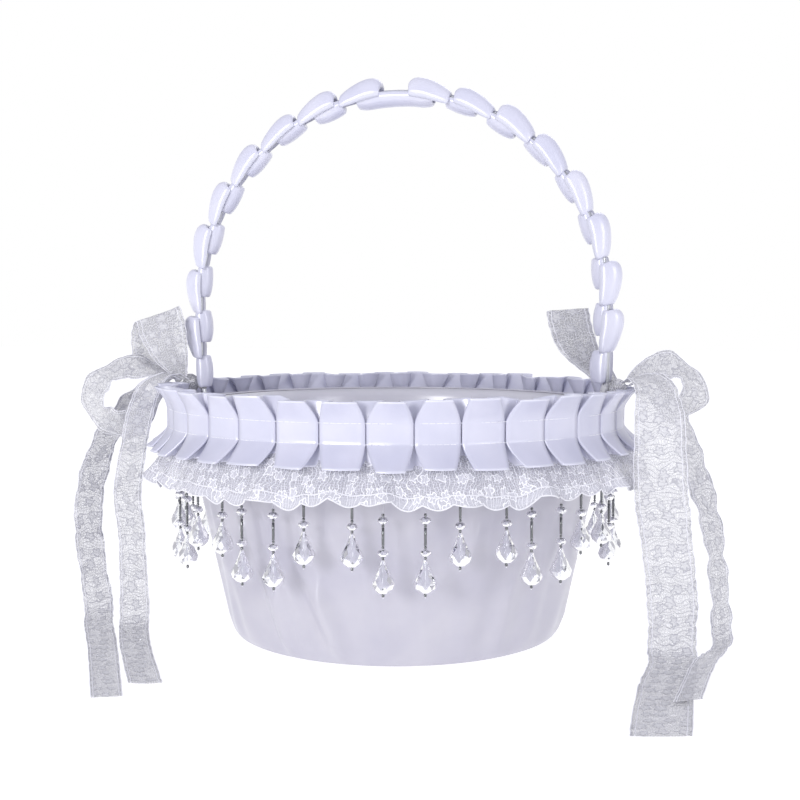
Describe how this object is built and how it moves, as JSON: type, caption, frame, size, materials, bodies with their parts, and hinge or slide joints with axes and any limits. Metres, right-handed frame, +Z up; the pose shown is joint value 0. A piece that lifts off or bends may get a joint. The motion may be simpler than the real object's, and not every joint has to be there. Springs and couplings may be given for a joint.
{
  "type": "flower girl basket",
  "caption": "Round satin-covered basket with a pleated ribbon rim, lace skirt, swinging beaded pendants, ribbon-covered arch handle and lace bows.",
  "frame": {"origin": "centre of the round underside, on the surface that the basket stands on", "axes": "+Z up along the tub's axis, +X through the handle's right foot as seen from the front, front towards -Y"},
  "size_m": [0.2979, 0.248, 0.2438],
  "materials": {
    "satin": "white polyester satin, glossy and softly creased",
    "satin_lining": "white satin, loosely gathered",
    "pleated_ribbon": "double-face satin ribbon, pleated",
    "lace": "white net lace with a scalloped floral edge",
    "lace_ribbon": "sheer white net ribbon with corded edges",
    "tape": "woven cotton tape",
    "thread": "twisted polyester thread",
    "wadding": "white polyester wadding",
    "card": "stiff greyboard, 2 mm",
    "steel_wire": "bright drawn wire",
    "crystal": "clear faceted acrylic beads with silver-lined bugles"
  },
  "bodies": {
    "root": {"wall_board": "card", "base_board": "card", "outer_cover": "satin", "lining": "satin_lining", "floor_wadding": "wadding", "underside_cover": "satin", "rim_ruffle": "pleated_ribbon", "lace_skirt": "lace", "fringe_tape": "tape", "header_cord": "thread", "handle_wire": "steel_wire", "handle_ruffle": "pleated_ribbon", "handle_staples": "steel_wire", "bow_left_loops": "lace_ribbon", "bow_left_knot": "lace_ribbon", "bow_left_tails": "lace_ribbon", "bow_right_loops": "lace_ribbon", "bow_right_knot": "lace_ribbon", "bow_right_tails": "lace_ribbon"},
    "pendant_01": {"pendant_01": "crystal"},
    "pendant_02": {"pendant_02": "crystal"},
    "pendant_03": {"pendant_03": "crystal"},
    "pendant_04": {"pendant_04": "crystal"},
    "pendant_05": {"pendant_05": "crystal"},
    "pendant_06": {"pendant_06": "crystal"},
    "pendant_07": {"pendant_07": "crystal"},
    "pendant_08": {"pendant_08": "crystal"},
    "pendant_09": {"pendant_09": "crystal"},
    "pendant_10": {"pendant_10": "crystal"},
    "pendant_11": {"pendant_11": "crystal"},
    "pendant_12": {"pendant_12": "crystal"},
    "pendant_13": {"pendant_13": "crystal"},
    "pendant_14": {"pendant_14": "crystal"},
    "pendant_15": {"pendant_15": "crystal"},
    "pendant_16": {"pendant_16": "crystal"},
    "pendant_17": {"pendant_17": "crystal"},
    "pendant_18": {"pendant_18": "crystal"},
    "pendant_19": {"pendant_19": "crystal"},
    "pendant_20": {"pendant_20": "crystal"},
    "pendant_21": {"pendant_21": "crystal"},
    "pendant_22": {"pendant_22": "crystal"},
    "pendant_23": {"pendant_23": "crystal"},
    "pendant_24": {"pendant_24": "crystal"},
    "pendant_25": {"pendant_25": "crystal"},
    "pendant_26": {"pendant_26": "crystal"},
    "pendant_27": {"pendant_27": "crystal"},
    "pendant_28": {"pendant_28": "crystal"},
    "pendant_29": {"pendant_29": "crystal"},
    "pendant_30": {"pendant_30": "crystal"},
    "pendant_31": {"pendant_31": "crystal"},
    "pendant_32": {"pendant_32": "crystal"},
    "pendant_33": {"pendant_33": "crystal"},
    "pendant_34": {"pendant_34": "crystal"},
    "pendant_35": {"pendant_35": "crystal"},
    "pendant_36": {"pendant_36": "crystal"},
    "pendant_37": {"pendant_37": "crystal"},
    "pendant_38": {"pendant_38": "crystal"},
    "pendant_39": {"pendant_39": "crystal"},
    "pendant_40": {"pendant_40": "crystal"}
  },
  "joints": [
    {"name": "swing_01", "type": "hinge", "parent": "root", "child": "pendant_01", "pos_m": [0.01687, -0.09567, 0.0756], "axis": [-0.9848, -0.1736, 0], "range_deg": [-15, 40]},
    {"name": "swing_02", "type": "hinge", "parent": "root", "child": "pendant_02", "pos_m": [0.03243, -0.09157, 0.0756], "axis": [-0.9426, -0.3338, 0], "range_deg": [-15, 40]},
    {"name": "swing_03", "type": "hinge", "parent": "root", "child": "pendant_03", "pos_m": [0.04486, -0.08617, 0.0756], "axis": [-0.887, -0.4617, 0], "range_deg": [-15, 40]},
    {"name": "swing_04", "type": "hinge", "parent": "root", "child": "pendant_04", "pos_m": [0.06113, -0.07549, 0.0756], "axis": [-0.7771, -0.6293, 0], "range_deg": [-15, 40]},
    {"name": "swing_05", "type": "hinge", "parent": "root", "child": "pendant_05", "pos_m": [0.06988, -0.06748, 0.0756], "axis": [-0.6947, -0.7193, 0], "range_deg": [-15, 40]},
    {"name": "swing_06", "type": "hinge", "parent": "root", "child": "pendant_06", "pos_m": [0.08006, -0.05502, 0.0756], "axis": [-0.5664, -0.8241, 0], "range_deg": [-15, 40]},
    {"name": "swing_07", "type": "hinge", "parent": "root", "child": "pendant_07", "pos_m": [0.08694, -0.04334, 0.0756], "axis": [-0.4462, -0.8949, 0], "range_deg": [-15, 40]},
    {"name": "swing_08", "type": "hinge", "parent": "root", "child": "pendant_08", "pos_m": [0.09383, -0.02514, 0.0756], "axis": [-0.2588, -0.9659, 0], "range_deg": [-15, 24]},
    {"name": "swing_09", "type": "hinge", "parent": "root", "child": "pendant_09", "pos_m": [0.0962, -0.01352, 0.0756], "axis": [-0.1392, -0.9903, 0], "range_deg": [-15, 40]},
    {"name": "swing_10", "type": "hinge", "parent": "root", "child": "pendant_10", "pos_m": [0.09711, 0.00254, 0.0756], "axis": [0.0262, -0.9997, 0], "range_deg": [-15, 40]},
    {"name": "swing_11", "type": "hinge", "parent": "root", "child": "pendant_11", "pos_m": [0.09581, 0.01603, 0.0756], "axis": [0.165, -0.9863, 0], "range_deg": [-15, 40]},
    {"name": "swing_12", "type": "hinge", "parent": "root", "child": "pendant_12", "pos_m": [0.09069, 0.03481, 0.0756], "axis": [0.3584, -0.9336, 0], "range_deg": [-15, 40]},
    {"name": "swing_13", "type": "hinge", "parent": "root", "child": "pendant_13", "pos_m": [0.08577, 0.04561, 0.0756], "axis": [0.4695, -0.8829, 0], "range_deg": [-15, 40]},
    {"name": "swing_14", "type": "hinge", "parent": "root", "child": "pendant_14", "pos_m": [0.07707, 0.05914, 0.0756], "axis": [0.6088, -0.7934, 0], "range_deg": [-15, 40]},
    {"name": "swing_15", "type": "hinge", "parent": "root", "child": "pendant_15", "pos_m": [0.06809, 0.06929, 0.0756], "axis": [0.7133, -0.7009, 0], "range_deg": [-15, 40]},
    {"name": "swing_16", "type": "hinge", "parent": "root", "child": "pendant_16", "pos_m": [0.05291, 0.08147, 0.0756], "axis": [0.8387, -0.5446, 0], "range_deg": [-15, 40]},
    {"name": "swing_17", "type": "hinge", "parent": "root", "child": "pendant_17", "pos_m": [0.04258, 0.08731, 0.0756], "axis": [0.8988, -0.4384, 0], "range_deg": [-15, 40]},
    {"name": "swing_18", "type": "hinge", "parent": "root", "child": "pendant_18", "pos_m": [0.02759, 0.09314, 0.0756], "axis": [0.9588, -0.284, 0], "range_deg": [-15, 40]},
    {"name": "swing_19", "type": "hinge", "parent": "root", "child": "pendant_19", "pos_m": [0.01436, 0.09608, 0.0756], "axis": [0.989, -0.1478, 0], "range_deg": [-15, 40]},
    {"name": "swing_20", "type": "hinge", "parent": "root", "child": "pendant_20", "pos_m": [-0.00508, 0.09701, 0.0756], "axis": [0.9986, 0.0523, 0], "range_deg": [-15, 40]},
    {"name": "swing_21", "type": "hinge", "parent": "root", "child": "pendant_21", "pos_m": [-0.01687, 0.09567, 0.0756], "axis": [0.9848, 0.1736, 0], "range_deg": [-15, 40]},
    {"name": "swing_22", "type": "hinge", "parent": "root", "child": "pendant_22", "pos_m": [-0.03243, 0.09157, 0.0756], "axis": [0.9426, 0.3338, 0], "range_deg": [-15, 40]},
    {"name": "swing_23", "type": "hinge", "parent": "root", "child": "pendant_23", "pos_m": [-0.04486, 0.08617, 0.0756], "axis": [0.887, 0.4617, 0], "range_deg": [-15, 40]},
    {"name": "swing_24", "type": "hinge", "parent": "root", "child": "pendant_24", "pos_m": [-0.06113, 0.07549, 0.0756], "axis": [0.7771, 0.6293, 0], "range_deg": [-15, 40]},
    {"name": "swing_25", "type": "hinge", "parent": "root", "child": "pendant_25", "pos_m": [-0.06988, 0.06748, 0.0756], "axis": [0.6947, 0.7193, 0], "range_deg": [-15, 40]},
    {"name": "swing_26", "type": "hinge", "parent": "root", "child": "pendant_26", "pos_m": [-0.08006, 0.05502, 0.0756], "axis": [0.5664, 0.8241, 0], "range_deg": [-15, 40]},
    {"name": "swing_27", "type": "hinge", "parent": "root", "child": "pendant_27", "pos_m": [-0.08694, 0.04334, 0.0756], "axis": [0.4462, 0.8949, 0], "range_deg": [-15, 40]},
    {"name": "swing_28", "type": "hinge", "parent": "root", "child": "pendant_28", "pos_m": [-0.09383, 0.02514, 0.0756], "axis": [0.2588, 0.9659, 0], "range_deg": [-15, 40]},
    {"name": "swing_29", "type": "hinge", "parent": "root", "child": "pendant_29", "pos_m": [-0.0962, 0.01352, 0.0756], "axis": [0.1392, 0.9903, 0], "range_deg": [-15, 40]},
    {"name": "swing_30", "type": "hinge", "parent": "root", "child": "pendant_30", "pos_m": [-0.09711, -0.00254, 0.0756], "axis": [-0.0262, 0.9997, 0], "range_deg": [-15, 40]},
    {"name": "swing_31", "type": "hinge", "parent": "root", "child": "pendant_31", "pos_m": [-0.09581, -0.01603, 0.0756], "axis": [-0.165, 0.9863, 0], "range_deg": [-15, 40]},
    {"name": "swing_32", "type": "hinge", "parent": "root", "child": "pendant_32", "pos_m": [-0.09069, -0.03481, 0.0756], "axis": [-0.3584, 0.9336, 0], "range_deg": [-15, 40]},
    {"name": "swing_33", "type": "hinge", "parent": "root", "child": "pendant_33", "pos_m": [-0.08577, -0.04561, 0.0756], "axis": [-0.4695, 0.8829, 0], "range_deg": [-15, 40]},
    {"name": "swing_34", "type": "hinge", "parent": "root", "child": "pendant_34", "pos_m": [-0.07707, -0.05914, 0.0756], "axis": [-0.6088, 0.7934, 0], "range_deg": [-15, 40]},
    {"name": "swing_35", "type": "hinge", "parent": "root", "child": "pendant_35", "pos_m": [-0.06809, -0.06929, 0.0756], "axis": [-0.7133, 0.7009, 0], "range_deg": [-15, 40]},
    {"name": "swing_36", "type": "hinge", "parent": "root", "child": "pendant_36", "pos_m": [-0.05291, -0.08147, 0.0756], "axis": [-0.8387, 0.5446, 0], "range_deg": [-15, 40]},
    {"name": "swing_37", "type": "hinge", "parent": "root", "child": "pendant_37", "pos_m": [-0.04258, -0.08731, 0.0756], "axis": [-0.8988, 0.4384, 0], "range_deg": [-15, 40]},
    {"name": "swing_38", "type": "hinge", "parent": "root", "child": "pendant_38", "pos_m": [-0.02759, -0.09314, 0.0756], "axis": [-0.9588, 0.284, 0], "range_deg": [-15, 40]},
    {"name": "swing_39", "type": "hinge", "parent": "root", "child": "pendant_39", "pos_m": [-0.01436, -0.09608, 0.0756], "axis": [-0.989, 0.1478, 0], "range_deg": [-15, 40]},
    {"name": "swing_40", "type": "hinge", "parent": "root", "child": "pendant_40", "pos_m": [0.00508, -0.09701, 0.0756], "axis": [-0.9986, -0.0523, 0], "range_deg": [-15, 40]}
  ]
}
